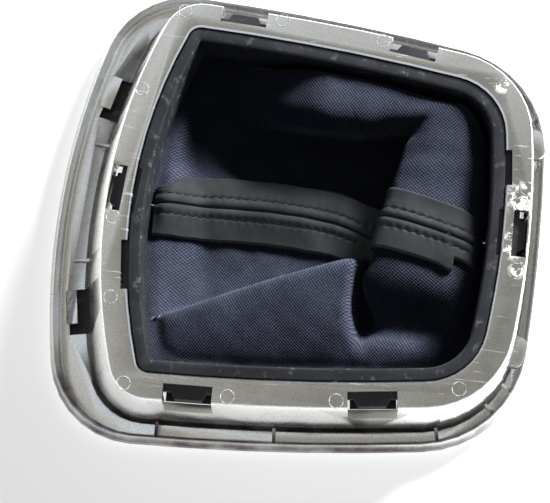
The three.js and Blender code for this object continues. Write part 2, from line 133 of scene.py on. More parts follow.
CARD_HALF = 3                     # metres
PHOTO_WIDTH, FOCAL_LENGTH, SENSOR = 550, 1500, 36         # pixels, pixels and millimetres
CAMERA_PLACE = (0.0305007, -0.1325184, 0.443355)
CAMERA_TURN = (16.15399, 2.55393, 7.68976)          # degrees about x, y and z


def smooth(v):
    """Smooth step from 0 to 1."""
    t = np.clip(v, 0, 1)
    return t * t * (3 - 2 * t)


def ramp(v, ends):
    """Smooth step from 0 at the first end to 1 at the second."""
    return smooth((v - ends[0]) / (ends[1] - ends[0]))


def mix(a, b, t):
    return a + (b - a) * t


def bump(d, width):
    """Bell curve, 1 at d = 0."""
    return np.exp(-(d / width) ** 2)


# Shape of the gaiter

def circles(o, inset=0.0):
    """The three circles that half an outline runs on: right end, flank and left end."""
    def side(x, half, bulge, way):
        r = (half * half + bulge * bulge) / (2 * bulge)
        return (x + way * (bulge - r), 0.0, r - inset)
    dx, dy = o["right"] - o["left"], o["half_right"] - o["half_left"]
    half = math.hypot(dx, dy) / 2
    r = (half ** 2 + o["bulge_flank"] ** 2) / (2 * o["bulge_flank"])
    up = (o["bulge_flank"] - r) / (2 * half)
    flank = ((o["left"] + o["right"]) / 2 - dy * up,
             (o["half_left"] + o["half_right"]) / 2 + dx * up, r - inset)
    return (side(o["right"], o["half_right"], o["bulge_right"], 1), flank,
            side(o["left"], o["half_left"], o["bulge_left"], -1))


def corner(a, b, radius, px, py):
    """Corner arc that touches circles a and b from inside, near a point."""
    ra, rb = a[2] - radius, b[2] - radius
    dx, dy = b[0] - a[0], b[1] - a[1]
    d = math.hypot(dx, dy)
    along = (ra * ra - rb * rb + d * d) / (2 * d)
    off = math.sqrt(max(ra * ra - along * along, 0))
    found = [(a[0] + (along * dx - s * off * dy) / d,
              a[1] + (along * dy + s * off * dx) / d, radius) for s in (1, -1)]
    return min(found, key=lambda c: math.hypot(c[0] - px, c[1] - py))


def arcs(o, inset=0.0):
    """The five arcs of half an outline, each with its two bearings."""
    right, flank, left = circles(o, inset)
    near = corner(right, flank, max(o["corner_right"] - inset, 1.2), o["right"], o["half_right"])
    far = corner(left, flank, max(o["corner_left"] - inset, 1.2), o["left"], o["half_left"])
    turn = lambda a, b: math.atan2(b[1] - a[1], b[0] - a[0])
    t = [0, turn(right, near), turn(flank, near), turn(flank, far), turn(left, far), math.pi]
    return [(c, t[k], t[k + 1]) for k, c in enumerate((right, near, flank, far, left))]


def outline(o, inset=0.0, fine=1):
    """Closed outline moved in by inset, anticlockwise from its right end."""
    half = []
    for (c, a0, a1), n in zip(arcs(o, inset), ARCS):
        a = np.linspace(a0, a1, n * fine + 1)[:-1]
        half.append(np.stack([c[0] + c[2] * np.cos(a), c[1] + c[2] * np.sin(a)], 1))
    left = circles(o, inset)[2]
    half.append(np.array([[left[0] - left[2], 0.0]]))
    half = np.vstack(half)
    return np.vstack([half, half[1:-1][::-1] * [1, -1]])


PLAN = arcs(RIM)


def inset_of(x, y):
    """How far inside the rim outline a plan point lies, rounded where two arcs meet."""
    k, ay = ARC_BLEND, np.abs(y)
    gap = lambda c: c[2] - np.hypot(x - c[0], ay - c[1])
    d = -k * np.log(sum(np.exp(-gap(PLAN[i][0]) / k) for i in (0, 2, 4)))
    for i in (1, 3):
        c, a0, a1 = PLAN[i]
        b = np.arctan2(ay - c[1], x - c[0])
        d = np.where((b > a0) & (b < a1), np.minimum(d, gap(c)), d)
    return d


def neck_gap(x, y):
    """How far outside the neck's oval a plan point lies."""
    a, b = NECK["length"] / 2, NECK["width"] / 2
    return (np.hypot((x - NECK["x"]) / a, (y - NECK["y"]) / b) - 1) * min(a, b)


def rise(q, full=2.4):
    """Height share over a rounded fold, q = 0 at its foot and 1 at its top."""
    return 1 - (1 - np.clip(q, 0, 1)) ** full


def belly(q):
    """How far a fold bulges over its foot, largest at about a third of the way up."""
    return ramp(q, BELLY_OUT) * (1 - ramp(q, BELLY_BACK))


def high_fold(x, y):
    """Rear and right fold: height share and top, and how far they bulge and swing."""
    corner = ramp(x, REAR["corner"])
    sag = REAR["sag"] * np.minimum(x - REAR["sag_from"], 0) ** 2
    rear_q = ((y - REAR["foot"] - REAR["corner_foot"] * corner - sag)
              / mix(REAR["width"], REAR["corner_width"], corner))
    right_q = (x - RIGHT["foot"] + RIGHT["rear_foot"] * ramp(y, RIGHT["rear"])
               + RIGHT["near_foot"] * np.maximum(RIGHT["near_from"] - y, 0)
               + RIGHT["low_foot"] * np.maximum(RIGHT["low_from"] - y, 0)) / RIGHT["width"]
    height = ramp(y - RIGHT["slant"] * x, RIGHT["height"])
    lean = ramp(y - RIGHT["slant"] * x, RIGHT["lean"])
    left = mix(REAR["low"], 1, ramp(x, REAR["rising"])) * ramp(x, REAR["starting"])
    to_rear = 1 / (1 + np.exp(np.clip(HIGH["share"] * (right_q - rear_q), -30, 30)))
    apart = np.exp(-HIGH["joint"] * np.abs(rear_q - right_q))
    q = np.maximum(rear_q, right_q) + np.log1p(apart) / HIGH["joint"]
    share = rise(q, HIGH["fullness"]) * mix(height, left, to_rear)
    top = (HIGH["top"] - HIGH["right_drop"] * ramp(x, HIGH["right"])
           + HIGH["rear_lift"] * ramp(y, HIGH["rear"]))
    over = (RIGHT["bulge"] + RIGHT["middle_bulge"] * ramp(y, RIGHT["middle"])
            + RIGHT["near_bulge"] * ramp(y, RIGHT["near"])) * belly(q) * lean * (1 - to_rear)
    under = REAR["bulge"] * belly(q) * left * to_rear
    swing = (RIGHT["swing"] * ramp(x, RIGHT["swing_left"]) * ramp(x, RIGHT["swing_right"])
             * ramp(y, RIGHT["swing_near"]) * ramp(y, RIGHT["swing_rear"]) * rise(right_q))
    return share, top, over, under, swing


def front_fold(x, y, inside):
    """Front fold, whose top falls to the frame: height share and top, and its bulge."""
    crest = (FRONT["crest_y"] - FRONT["slope"] * (FRONT["crest_x"] - x)
             + FRONT["arch"] * np.sin((x - FRONT["arch_from"]) / FRONT["arch_long"] * np.pi))
    behind = np.maximum(crest - y, 0)
    down = behind / (behind + np.maximum(inside, 0) + 0.1)
    stop = FRONT["stop"] + FRONT["stop_bend"] * (y - FRONT["stop_y"]) ** 2
    full = FRONT["top"] - FRONT["left_drop"] * (1 - ramp(x, FRONT["rising"]))
    top = mix(full, BEND - FRONT["hem"], down ** FRONT["fall"])
    share = rise((crest - y) / FRONT["width"]) * smooth((stop - x) / FRONT["stop_long"])
    tuck = (FRONT["bulge"] * belly((crest - y) / FRONT["bulge_width"])
            * smooth((stop - x) / FRONT["bulge_long"]))
    return share, top, tuck


def creases(x, y):
    """Small soft waves that the cloth keeps from being handled, between -1 and 1."""
    waves = np.random.default_rng(7)
    total = 0
    for length in WAVE_LENGTHS:
        turn, start = waves.uniform(0, math.pi), waves.uniform(0, 2 * math.pi)
        along = x * math.cos(turn) + y * math.sin(turn)
        wander = 2 * np.sin(x / 11 + start) + 2 * np.sin(y / 8 - start)
        wave = np.sin(2 * math.pi * (along + wander) / length + start)
        total = total + length / WAVE_LENGTHS[0] * wave
    return total / 2.5


def fold(x, y, crease):
    """Point of the folded cloth over a plan point: floor, low ridge and the three folds."""
    inside = inset_of(x, y) - WEB_INSET
    share, top, over, under, swing = high_fold(x, y)
    front, front_top, tuck = front_fold(x, y, inside)
    floor = mix(BEND, FLOOR, smooth(inside / mix(*FLOOR_REACH, ramp(y, FLOOR_TURN))))
    ridge = RIDGE["height"] * bump(y - RIDGE["y"], RIDGE["width"]) * ramp(x, RIDGE["ending"])
    floor = floor + ridge
    z = mix(floor, NEAR_CORNER["z"], ramp(y, NEAR_CORNER["y"]) * ramp(x, NEAR_CORNER["x"]))
    z = mix(z, np.maximum(front_top, floor + LEAST_FOLD), front)
    z = mix(z, top, share)
    from_neck = neck_gap(x, y)
    z = mix(z, NECK["z"], 1 - ramp(from_neck, NECK_RISE))
    z = z + crease * creases(x, y) * ramp(from_neck, CREASE_NEAR_NECK)
    z = mix(BEND, z, smooth(inside / mix(*HEM_REACH, share)))
    bow = (BOW["depth"] * np.sin(np.pi * np.clip((x - BOW["start"]) / BOW["long"], 0, 1))
           * ramp(np.abs(y), BOW["y"]))
    return np.stack([x - over, y + swing + bow - under + tuck, z], -1)


def web(x, y, crease=0.0):
    """The folded cloth, evened out over the points round each point."""
    reach = (EVENING * ramp(inset_of(x, y) - WEB_INSET, EVEN_FROM_HEM)
             * ramp(neck_gap(x, y), EVEN_FROM_NECK))
    around = ((0, 0), (1, 0), (-1, 0), (0, 1), (0, -1))
    return sum(fold(x + i * reach, y + j * reach, crease) for i, j in around) / len(around)


def panel_grid(side, crease):
    """Middle surface of one half of the gaiter, rows from the hem to the neck, and its plan
    before it is folded."""
    n = sum(ARCS) * 2 * FINE
    cols = np.arange(n // 2 + 1) if side > 0 else np.arange(n // 2, n + 1) % n
    apart = lambda y, middle: middle + side * np.maximum(side * (y - middle), SEAM_GAP / 2)
    down = [(HANG_INSET, z) for z in HANG_HEIGHTS]
    down += [(SKIRT_INSET - HANG_BEND * math.cos(a), SKIRT_BOTTOM - HANG_BEND * math.sin(a))
             for a in np.radians(HANG_TURN)]
    hang = []
    for inset, z in down:
        ring = outline(RIM, inset, FINE)[cols]
        hang.append(np.column_stack([ring[:, 0], apart(ring[:, 1], 0), np.full(len(ring), z)]))
    hang = np.array(hang)
    ring = outline(RIM, WEB_INSET, FINE)[cols]
    a = 2 * np.pi * cols / n
    t = np.linspace(0, 1, ROWS)[:, None]
    t = t ** (1 - ROW_SPREAD * np.maximum(np.cos(a), 0) ** 0.5)[None, :]
    turn = a + NECK_SPREAD * np.sin(2 * a)
    x = mix(ring[:, 0], NECK["x"] + NECK["length"] / 2 * np.cos(turn), t)
    y = mix(ring[:, 1], NECK["y"] + NECK["width"] / 2 * np.sin(turn), t)
    y = apart(y, NECK["y"] * t)
    grid = np.concatenate([hang, web(x, y, crease)])
    flat = np.concatenate([hang[..., :2], np.stack([x, y], -1)])
    return grid, flat


def strip_grid(way, width, crease):
    """Middle surface of the cloth under a strip, with the distance from the seam."""
    shape = STRIP_RIGHT if way > 0 else STRIP_LEFT
    end = outline(RIM, WEB_INSET)[0 if way > 0 else sum(ARCS)][0]
    hem = NECK["x"] + way * NECK["length"] / 2
    t = np.linspace(0, 1, STRIP_LENGTHWAYS)[:, None] ** shape["spread"]
    x = mix(end - shape["short"], hem + way * STRIP_FROM_NECK, t)
    low = -width / 2 + RAGGED * creases(x * 4, x)
    high = width / 2 + RAGGED * creases(x * 3, x + 30)
    if way > 0:
        nick = TORN["nick"] * bump(x - TORN["nick_x"], TORN["nick_width"])
        low = low + TORN["step"] * ramp(x, TORN["x"]) - nick
    high = high - shape["corner"] * ramp(x, shape["corner_x"])     # corner cut off at the frame
    d = mix(low, high, np.linspace(0, 1, STRIP_ACROSS)[None, :])
    x = x + np.zeros_like(d)
    y = d - (shape["drift"] * ramp(x, shape["drift_x"]) - shape["start"])
    return web(x, y, crease), d


def strip_height(d, edge, along, thick, pitch):
    """Top of a strip over its underside: rolled edges by the seam, a groove between them."""
    r = np.abs(d)
    swell = lambda at, size: size[0] * bump(at, size[1])
    height = thick + swell(r - WELT, ROLLED) - swell(d, GROOVE)
    height -= swell(r - STITCH_ROW, DENT)
    height += np.cos(2 * np.pi * along / pitch) * swell(r - STITCH_ROW, PUCKER)
    return np.maximum(height * mix(EDGE_LEFT, 1, smooth(edge / EDGE_REACH)), LEAST_LEATHER)


def stitch_paths(top, normals, d, pitch):
    """Paths of the stitches in both rows of a strip, and the way up at each."""
    paths, ups = [], []
    rows = np.arange(len(top))
    for row in (-STITCH_ROW, STITCH_ROW):
        at = np.argmin(np.abs(d - row), axis=1)
        line, normal = top[rows, at], normals[rows, at]
        s = np.concatenate([[0], np.cumsum(np.linalg.norm(np.diff(line, axis=0), axis=1))])
        for k in range(int((s[-1] - 1) / pitch)):
            q = 0.5 + pitch * (k + np.linspace(*STITCH_SPAN, STITCH_POINTS))
            point = np.stack([np.interp(q, s, line[:, c]) for c in range(3)], 1)
            middle = q[STITCH_POINTS // 2]
            up = np.array([np.interp(middle, s, normal[:, c]) for c in range(3)])
            up /= np.linalg.norm(up)
            arch = np.cos(np.linspace(-np.pi / 2, np.pi / 2, STITCH_POINTS))
            paths.append(point + up * (STITCH_ARCH * arch - STITCH_SINK)[:, None])
            ups.append(up)
    return paths, ups


def grid_normals(grid):
    """Unit normals of a grid of points, evened out from point to point."""
    du, dv = np.gradient(grid, axis=0), np.gradient(grid, axis=1)
    n = np.cross(dv, du)
    n = n / np.maximum(np.linalg.norm(n, axis=-1, keepdims=True), 1e-9)
    for _ in range(NORMAL_PASSES):    # even out the sharpest bends, where two sides would cross
        wide = np.pad(n, ((1, 1), (1, 1), (0, 0)), mode="edge")
        n = 2 * n + wide[2:, 1:-1] + wide[:-2, 1:-1] + wide[1:-1, 2:] + wide[1:-1, :-2]
        n = n / np.maximum(np.linalg.norm(n, axis=-1, keepdims=True), 1e-9)
    return n


def lengths(grid):
    """Running length in millimetres down each column of a grid, from its middle row."""
    steps = np.linalg.norm(np.diff(grid, axis=0), axis=-1)
    total = np.concatenate([np.zeros_like(steps[:1]), np.cumsum(steps, axis=0)])
    return total - total[len(total) // 2]


# Meshes

def new_object(name, data):
    """Object for some data, in the scene."""
    made = bpy.data.objects.new(name, data)
    bpy.context.scene.collection.objects.link(made)
    return made


def new_piece(name, points, faces, materials, slots=None):
    """Mesh piece from points in millimetres, riding on the part's one body."""
    mesh = bpy.data.meshes.new(name)
    mesh.from_pydata(((np.asarray(points) + [SHIFT, 0, 0]) * MM).tolist(), [], faces)
    piece = new_object(name, mesh)
    for material in materials:
        mesh.materials.append(material)
    if slots is not None:
        mesh.polygons.foreach_set("material_index", slots)
    mesh.shade_smooth()
    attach(piece, "root")
    return piece


def thick_grid(name, grid, low, high, materials, flat=None):
    """Closed sheet round a grid of middle points, between a low and a high offset. The weave
    lies on a mix of the cloth's plan and its folded place, and runs on down steep places."""
    n = grid_normals(grid)
    rows, cols = grid.shape[:2]
    offset = lambda h: np.broadcast_to(h, (rows, cols))[..., None]
    top_points, low_points = grid + n * offset(high), grid + n * offset(low)
    points = np.concatenate([top_points.reshape(-1, 3), low_points.reshape(-1, 3)])
    index = np.arange(rows * cols).reshape(rows, cols)
    a, b, c, d = index[:-1, :-1], index[1:, :-1], index[1:, 1:], index[:-1, 1:]
    top = np.stack([a, b, c, d], -1).reshape(-1, 4)
    edge = np.concatenate([index[0, :], index[1:, -1], index[-1, :-1][::-1], index[1:-1, 0][::-1]])
    after = np.roll(edge, -1)
    rim = np.stack([edge, after, after + rows * cols, edge + rows * cols], -1)
    faces = np.concatenate([top, top[:, ::-1] + rows * cols, rim])
    slots = np.zeros(len(faces), int)
    slots[len(top):] = len(materials) - 1
    piece = new_piece(name, points, faces.tolist(), materials, slots)
    if flat is not None:
        fall = grid[..., 2:]
        laid = mix(flat, grid[..., :2], WEAVE_FOLDED) + fall * WEAVE_FALL
        laid = np.concatenate([laid, 0 * fall], -1)
        laid = np.concatenate([laid.reshape(-1, 3)] * 2).astype(np.float32)
        layer = piece.data.attributes.new("laid_flat", "FLOAT_VECTOR", "POINT")
        layer.data.foreach_set("vector", laid.ravel())
    return piece


def softened(node, name, width, materials, second=None):
    """Copy of a moulding with its sharp edges rounded, in place of the CAD node. The second
    material goes on the faces for which second(centre, normal) is true, in millimetres."""
    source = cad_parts[node]
    body = bmesh.new()
    body.from_mesh(source.data)
    bmesh.ops.remove_doubles(body, verts=body.verts, dist=1e-6)
    bmesh.ops.dissolve_limit(body, angle_limit=FLAT_ANGLE, verts=body.verts,
                             edges=body.edges)
    mesh = bpy.data.meshes.new(name)
    body.to_mesh(mesh)
    body.free()
    piece = new_object(name, mesh)
    mesh.materials.clear()
    for material in materials:
        mesh.materials.append(material)
    for face in mesh.polygons:
        face.material_index = int(second is not None and second(face.center / MM, face.normal))
    edges = piece.modifiers.new("edges", "BEVEL")
    edges.width = width
    edges.segments = 2
    edges.limit_method = "ANGLE"
    edges.angle_limit = EDGE_ANGLE
    evaluated = piece.evaluated_get(bpy.context.evaluated_depsgraph_get())
    rounded = bpy.data.meshes.new_from_object(evaluated)
    piece.modifiers.clear()
    piece.data = rounded
    rounded.shade_smooth()
    rounded.set_sharp_from_angle(angle=SHARP_ANGLE)
    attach(piece, "root")
    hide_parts(node)
    return piece


def in_slot(centre, normal):
    """Whether a face of the bezel is the floor or a wall of one of the two flange slots,
    which are painted black as shade.
    """
    at = dict(x=centre.x - SHIFT, y=abs(centre.y), z=centre.z)
    return normal.z > -0.5 and all(low < at[axis] < high for axis, (low, high) in SLOT.items())


def tubes(paths, ups, radius, sides=8, flatness=0.8):
    """Points and faces of closed tubes along paths, flattened a little and with shut ends."""
    points, faces = [], []
    around = np.linspace(0, 2 * np.pi, sides, endpoint=False)
    for path, up in zip(paths, ups):
        base, count = sum(len(p) for p in points), len(path)
        along = np.gradient(path, axis=0)
        along /= np.linalg.norm(along, axis=1, keepdims=True)
        out = np.cross(along, up)
        out /= np.linalg.norm(out, axis=1, keepdims=True)
        height = np.cross(out, along)
        s = np.linspace(-1, 1, count)
        r = radius * np.sqrt(np.clip(1.04 - s ** 6, 0.04, 1))      # drawn in at both ends
        ring = (path[:, None] + out[:, None] * np.cos(around)[None, :, None] * r[:, None, None]
                + height[:, None] * np.sin(around)[None, :, None] * r[:, None, None] * flatness)
        points.append(ring.reshape(-1, 3))
        for i in range(count - 1):
            for j in range(sides):
                k = (j + 1) % sides
                faces.append([base + i * sides + j, base + i * sides + k,
                              base + (i + 1) * sides + k, base + (i + 1) * sides + j])
        faces.append([base + j for j in range(sides)][::-1])
        faces.append([base + (count - 1) * sides + j for j in range(sides)])
    return np.concatenate(points), faces


# Materials

def linear(hex_colour):
    """An sRGB hex value as a linear colour."""
    parts = [int(hex_colour[i:i + 2], 16) / 255 for i in (1, 3, 5)]
    return [c / 12.92 if c <= 0.04045 else ((c + 0.055) / 1.055) ** 2.4 for c in parts]


def add(tree, kind, inputs=(), **settings):
    """Adds a shader node with its settings, and sets or links each input that is named. A
    node as the value stands for its first output."""
    new = tree.nodes.new("ShaderNode" + kind)
    for name, value in settings.items():
        setattr(new, name, value)
    for socket, value in dict(inputs).items():
        if isinstance(value, bpy.types.Node):
            value = value.outputs[0]
        if isinstance(value, bpy.types.NodeSocket):
            tree.links.new(value, new.inputs[socket])
        elif new.inputs[socket].type == "RGBA" and len(value) == 3:
            new.inputs[socket].default_value = (*value, 1)
        else:
            new.inputs[socket].default_value = value
    return new


def new_material(name):
    """Material without nodes, and its tree."""
    material = bpy.data.materials.new(name)
    material.use_nodes = True
    material.node_tree.nodes.clear()
    return material, material.node_tree


def per_metre(size_mm):
    """Scale of a noise or wave whose marks are about this many millimetres apart."""
    return 1 / (size_mm * MM)


def shade(colour, factor):
    """A lighter or darker value of a colour."""
    return [min(c * factor, 1) for c in colour]


def plated_abs(name, colour):
    """ABS, injection moulded and chrome plated. Its unpolished back is a satin grey mirror,
    cloudy and finely pitted, with a painted purple-brown reflection low on the near side, and
    white where it has blistered. Its flange is shaded as if it sloped outward at the left and
    near sides, where it mirrors the room beside it."""
    m, t = new_material(name)
    place = add(t, "TexCoord").outputs["Object"]
    cloud = add(t, "TexNoise",
                {"Vector": place, "Scale": per_metre(7), "Detail": 7, "Roughness": 0.68})
    grit = add(t, "TexNoise", {"Vector": place, "Scale": per_metre(0.5), "Detail": 3})
    tone = add(t, "MapRange", {"Value": cloud, 1: 0.35, 2: 0.68, 3: 0.95, 4: 1.03})
    fleck = add(t, "MapRange", {"Value": grit, 1: 0.4, 2: 0.62, 3: 0.84, 4: 1.06})
    both = add(t, "Math", {0: tone, 1: fleck}, operation="MULTIPLY")
    plating = add(t, "Mix", {0: both, 6: shade(colour, 0.25), 7: colour}, data_type="RGBA")
    axes = add(t, "SeparateXYZ", {0: place})
    # Painted reflection: purple-brown low down on the near side of the flange, broken up by noise
    under = add(t, "MapRange", {"Value": axes.outputs[2], 1: 7.2 * MM, 2: 5.6 * MM})
    over = add(t, "MapRange", {"Value": axes.outputs[2], 1: 2.9 * MM, 2: 3.3 * MM})
    deep = add(t, "Math", {0: under, 1: over}, operation="MULTIPLY")
    front = add(t, "MapRange", {"Value": axes.outputs[1], 1: -44 * MM, 2: -58 * MM})
    low = add(t, "Math", {0: deep, 1: front}, operation="MULTIPLY")
    reflection_breakup = add(t, "TexNoise", {"Vector": place, "Scale": per_metre(11), "Detail": 4})
    patch = add(t, "MapRange", {"Value": reflection_breakup, 1: 0.4, 2: 0.6, 3: 0.55, 4: 1.0})
    thin = add(t, "Math", {0: low, 1: patch}, operation="MULTIPLY")
    painted_reflection = add(t, "Mix", {0: thin, 6: plating.outputs[2], 7: linear("#57474c")}, data_type="RGBA")
    stretched = add(t, "Mapping", {"Vector": place, "Rotation": (0, 0, 0.6), "Scale": (1, 14, 1)})
    hair = add(t, "TexNoise", {"Vector": stretched, "Scale": per_metre(9), "Detail": 2})
    scratch = add(t, "MapRange", {"Value": hair, 1: 0.67, 2: 0.72, 3: 0.0, 4: 0.35})
    scuffed = add(t, "Mix",
                  {0: scratch, 6: painted_reflection.outputs[2], 7: linear("#e2e2de")}, data_type="RGBA")
    blister = None
    for x, y, radius in BLISTERS:
        centre = ((x + SHIFT) * MM, y * MM, RIM_TOP * MM)
        far = add(t, "VectorMath", {0: place, 1: centre}, operation="DISTANCE")
        near = add(t, "MapRange",
                   {"Value": far.outputs["Value"], 1: radius * MM, 2: radius * MM * 0.5})
        blister = near if blister is None else add(
            t, "Math", {0: blister, 1: near}, operation="MAXIMUM")
    crackle = add(t, "TexNoise",
                  {"Vector": place, "Scale": per_metre(2.2), "Detail": 5, "Roughness": 0.7})
    lines = add(t, "MapRange", {"Value": crackle, 1: 0.49, 2: 0.53})
    white = add(t, "Math", {0: lines, 1: blister}, operation="MULTIPLY")
    worn = add(t, "Mix", {0: white, 6: scuffed.outputs[2], 7: linear("#eeeeec")}, data_type="RGBA")
    rough = add(t, "MapRange", {"Value": cloud, 1: 0.3, 2: 0.7, 3: 0.24, 4: 0.32})
    broken = add(t, "Math", {0: white, 1: scratch}, operation="MAXIMUM")
    metal = add(t, "Math", {0: 1.0, 1: broken}, operation="SUBTRACT")
    relief = add(t, "Math", {0: grit, 1: white}, operation="ADD")
    pits = add(t, "Bump", {"Strength": 0.25, "Distance": 0.05 * MM, "Height": relief})
    middle = add(t, "VectorMath", {0: place, 1: (SHIFT * MM, 0, 0)}, operation="SUBTRACT")
    plan = add(t, "VectorMath", {0: middle, 1: (1, 1, 0)}, operation="MULTIPLY")
    out = add(t, "VectorMath", {0: plan}, operation="LENGTH").outputs["Value"]
    fall = add(t, "Math", {0: out, 1: -0.4}, operation="MULTIPLY")
    sloped = add(t, "Bump", {"Strength": 1.0, "Distance": 1.0, "Height": fall, "Normal": pits})
    across = add(t, "Math", {0: axes.outputs[0], 1: axes.outputs[1]}, operation="ADD")
    side = add(t, "MapRange", {"Value": across, 1: 0.04, 2: -0.01})
    foot = add(t, "MapRange", {"Value": axes.outputs[2], 1: 7.5 * MM, 2: 7 * MM})
    flange = add(t, "Math", {0: side, 1: foot}, operation="MULTIPLY")
    crowned = add(t, "Mix", {0: flange, 4: pits, 5: sloped}, data_type="VECTOR")
    s = add(t, "BsdfPrincipled", {"Base Color": worn.outputs[2], "Metallic": metal,
            "Roughness": rough, "Normal": crowned.outputs[1]})
    add(t, "OutputMaterial", {"Surface": s})
    return m


def burr_painted_highlight(name, colour):
    """The plated edge of an ejector pin's mark: a thin line, with a painted near-white highlight.
    """
    m, t = new_material(name)
    place = add(t, "TexCoord").outputs["Object"]
    rub = add(t, "TexNoise", {"Vector": place, "Scale": per_metre(1.5), "Detail": 3})
    tone = add(t, "MapRange", {"Value": rub, 1: 0.4, 2: 0.62})
    # Painted highlight: the ring's colour runs to near white so that it looks lit all round
    base = add(t, "Mix", {0: tone, 6: shade(colour, 0.4), 7: linear("#f4f4f2")}, data_type="RGBA")
    s = add(t, "BsdfPrincipled", {"Base Color": base.outputs[2], "Metallic": 0.3, "Roughness": 0.4})
    add(t, "OutputMaterial", {"Surface": s})
    return m


def moulded_black(name, colour):
    """Polypropylene, injection moulded: black with a fine spark-eroded matt, and dull grey
    rub marks where it has been handled."""
    m, t = new_material(name)
    place = add(t, "TexCoord").outputs["Object"]
    cloud = add(t, "TexNoise", {"Vector": place, "Scale": per_metre(9), "Detail": 5})
    grit = add(t, "TexNoise", {"Vector": place, "Scale": per_metre(0.5), "Detail": 2})
    rub = add(t, "TexNoise",
              {"Vector": place, "Scale": per_metre(3.2), "Detail": 6, "Roughness": 0.75})
    tone = add(t, "MapRange", {"Value": cloud, 1: 0.35, 2: 0.7})
    base = add(t, "Mix", {0: tone, 6: shade(colour, 0.8), 7: shade(colour, 1.35)}, data_type="RGBA")
    marks = add(t, "MapRange", {"Value": rub, 1: 0.56, 2: 0.68, 3: 0.0, 4: 0.6})
    rubbed = add(t, "Mix", {0: marks, 6: base.outputs[2], 7: linear("#6f7072")}, data_type="RGBA")
    rough = add(t, "MapRange", {"Value": rub, 1: 0.3, 2: 0.7, 3: 0.42, 4: 0.58})
    matt = add(t, "Bump", {"Strength": 0.3, "Distance": 0.03 * MM, "Height": grit})
    s = add(t, "BsdfPrincipled", {"Base Color": rubbed.outputs[2], "Roughness": rough,
            "Normal": matt, "Specular IOR Level": 0.4})
    add(t, "OutputMaterial", {"Surface": s})
    return m


def woven_backing(name, dark, light, thread_gap):
    """Polyester backing cloth, plain woven and bonded: navy, dry and matt, with each thread's
    crown a pale dot. The real dots are 0.62 mm apart, too fine to show, so they are drawn
    coarser. The laid cloth is in millimetres, and so its noises' scales are per millimetre."""
    m, t = new_material(name)
    laid = add(t, "Attribute", attribute_name="laid_flat",
               attribute_type="GEOMETRY").outputs["Vector"]
    wander = add(t, "TexNoise", {"Vector": laid, "Scale": 0.15, "Detail": 2})
    drift = add(t, "VectorMath", {0: wander.outputs["Color"], "Scale": 0.25}, operation="SCALE")
    moved = add(t, "VectorMath", {0: laid, 1: drift}, operation="ADD")
    turns = 2 * math.pi / (thread_gap / MM * math.sqrt(2))
    turned = add(t, "VectorMath", {0: moved, "Scale": turns}, operation="SCALE")
    axes = add(t, "SeparateXYZ", {0: turned})
    warp = add(t, "Math", {0: axes.outputs[0]}, operation="SINE")
    weft = add(t, "Math", {0: axes.outputs[1]}, operation="SINE")
    crowns = add(t, "Math", {0: warp, 1: weft}, operation="MULTIPLY")
    uneven = add(t, "TexNoise", {"Vector": laid, "Scale": 0.9, "Detail": 3})
    fade = add(t, "MapRange", {"Value": uneven, 1: 0.3, 2: 0.7, 3: -0.25, 4: 0.25})
    level = add(t, "Math", {0: crowns, 1: fade}, operation="ADD")
    dots = add(t, "MapRange", {"Value": level, 1: -0.6, 2: 0.9})
    patch = add(t, "TexNoise", {"Vector": laid, "Scale": 0.12, "Detail": 4})
    dust = add(t, "MapRange", {"Value": patch, 1: 0.35, 2: 0.7, 3: 0.8, 4: 1.15})
    weave = add(t, "Mix", {0: dots, 6: dark, 7: light}, data_type="RGBA")
    colour = add(t, "VectorMath", {0: weave.outputs[2], "Scale": dust}, operation="SCALE")
    threads = add(t, "Bump", {"Strength": 0.5, "Distance": 0.12 * MM, "Height": dots})
    s = add(t, "BsdfPrincipled", {"Base Color": colour, "Roughness": 0.92,
            "Specular IOR Level": 0.05, "Sheen Weight": 0.4, "Sheen Roughness": 0.4,
            "Sheen Tint": linear("#a9aebd"), "Normal": threads})
    add(t, "OutputMaterial", {"Surface": s})
    return m


def grained_leather(name, colour):
    """Split leather, coated and embossed: charcoal with a low sheen over a pebble grain of
    about 1 mm, and paler where it has been creased."""
    m, t = new_material(name)
    place = add(t, "TexCoord").outputs["Object"]
    pebbles = add(t, "TexVoronoi", {"Vector": place, "Scale": per_metre(1.1)}, feature="F1")
    fine = add(t, "TexNoise", {"Vector": place, "Scale": per_metre(0.6), "Detail": 3})
    crease = add(t, "TexNoise",
                 {"Vector": place, "Scale": per_metre(8), "Detail": 6, "Roughness": 0.6})
    tone = add(t, "MapRange", {"Value": crease, 1: 0.35, 2: 0.7})
    base = add(t, "Mix",
               {0: tone, 6: shade(colour, 0.75), 7: shade(colour, 1.25)}, data_type="RGBA")
    rough = add(t, "MapRange", {"Value": fine, 1: 0.3, 2: 0.7, 3: 0.5, 4: 0.68})
    relief = add(t, "Math", {0: pebbles, 1: 0.5, 2: fine}, operation="MULTIPLY_ADD")
    grain = add(t, "Bump", {"Strength": 0.22, "Distance": 0.12 * MM, "Height": relief})
    s = add(t, "BsdfPrincipled", {"Base Color": base.outputs[2], "Roughness": rough,
            "Specular IOR Level": 0.28, "Normal": grain})
    add(t, "OutputMaterial", {"Surface": s})
    return m


def twisted_thread(name, colour):
    """Bonded polyester thread, twisted: near black with a small waxy glint painted on each ply,
    drawn at 0.5 mm a turn so that it shows."""
    m, t = new_material(name)
    place = add(t, "TexCoord").outputs["Object"]
    slant = add(t, "Mapping", {"Vector": place, "Rotation": (0, 0, 0.8)})
    plies = add(t, "TexWave", {"Vector": slant, "Scale": per_metre(0.5) / (2 * math.pi)})
    # Painted glint: the colour runs lighter along each ply
    base = add(t, "Mix", {0: plies, 6: shade(colour, 0.6), 7: shade(colour, 1.5)}, data_type="RGBA")
    turns = add(t, "Bump", {"Strength": 0.5, "Distance": 0.05 * MM, "Height": plies})
    s = add(t, "BsdfPrincipled", {"Base Color": base.outputs[2], "Roughness": 0.6,
            "Normal": turns})
    add(t, "OutputMaterial", {"Surface": s})
    return m


